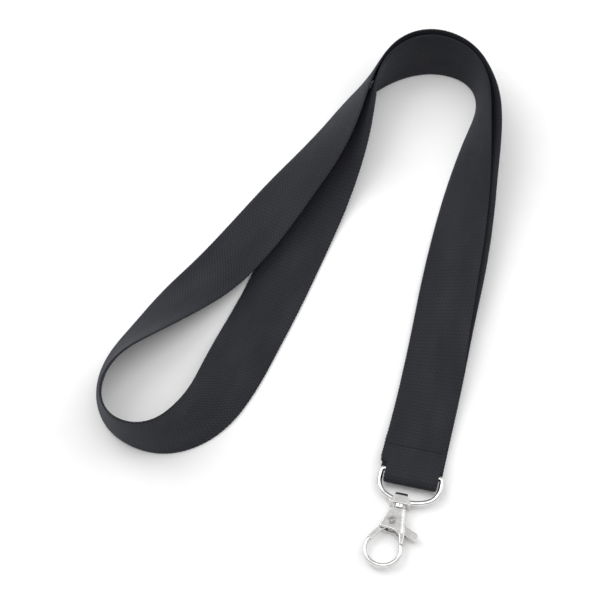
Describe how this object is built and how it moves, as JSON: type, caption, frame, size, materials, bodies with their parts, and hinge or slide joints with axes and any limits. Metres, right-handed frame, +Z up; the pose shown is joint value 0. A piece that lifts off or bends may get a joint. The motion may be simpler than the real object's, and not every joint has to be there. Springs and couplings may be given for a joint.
{
  "type": "lanyard",
  "caption": "Neck lanyard: flat woven band lying in a twisted loop, sewn round a D-ring that carries a swivelling trigger hook with a sprung gate.",
  "frame": {"origin": "centre of the footprint, on the table the lanyard lies on", "axes": "+Z up from the table, +Y from the hook towards the neck loop's top arch, +X to the right as it lies"},
  "size_m": [0.1687, 0.2429, 0.025],
  "materials": {
    "webbing": "charcoal polyester webbing, fine plain weave",
    "thread": "bonded polyester sewing thread, near black",
    "nickel_wire": "polished nickel plate on bent wire",
    "nickel_casting": "nickel plate on a tumbled zinc casting",
    "steel": "nickel-plated steel pin, turned",
    "spring_steel": "drawn spring wire"
  },
  "bodies": {
    "strap": {"webbing_strap": "webbing", "seam_needle_thread": "thread", "seam_bobbin_thread": "thread"},
    "ring": {"d_ring": "nickel_wire"},
    "swivel": {"swivel_eye": "nickel_casting", "swivel_collar": "nickel_casting", "swivel_post": "steel"},
    "hook": {"hook_body": "nickel_casting", "pivot_rivet": "steel"},
    "trigger": {"trigger_lever": "nickel_casting", "trigger_spring": "spring_steel"}
  },
  "joints": [
    {"name": "ring_turn", "type": "hinge", "parent": "strap", "child": "ring", "pos_m": [0.0437, -0.0809, 0.00382], "axis": [-0.9744, 0.225, 0], "range_deg": [-75, 90]},
    {"name": "eye_swing", "type": "hinge", "parent": "ring", "child": "swivel", "pos_m": [0.03883, -0.09255, 0.00276], "axis": [-0.9744, 0.225, 0], "range_deg": [-45, 38]},
    {"name": "hook_spin", "type": "hinge", "parent": "swivel", "child": "hook", "pos_m": [0.03793, -0.09644, 0.00276], "axis": [-0.225, -0.9744, 0], "continuous": true},
    {"name": "trigger_open", "type": "hinge", "parent": "hook", "child": "trigger", "pos_m": [0.03522, -0.10198, 0.00276], "axis": [0, 0, 1], "range_deg": [0, 25], "stiffness_Nm_per_rad": 0.02, "springref_deg": -20.05}
  ]
}
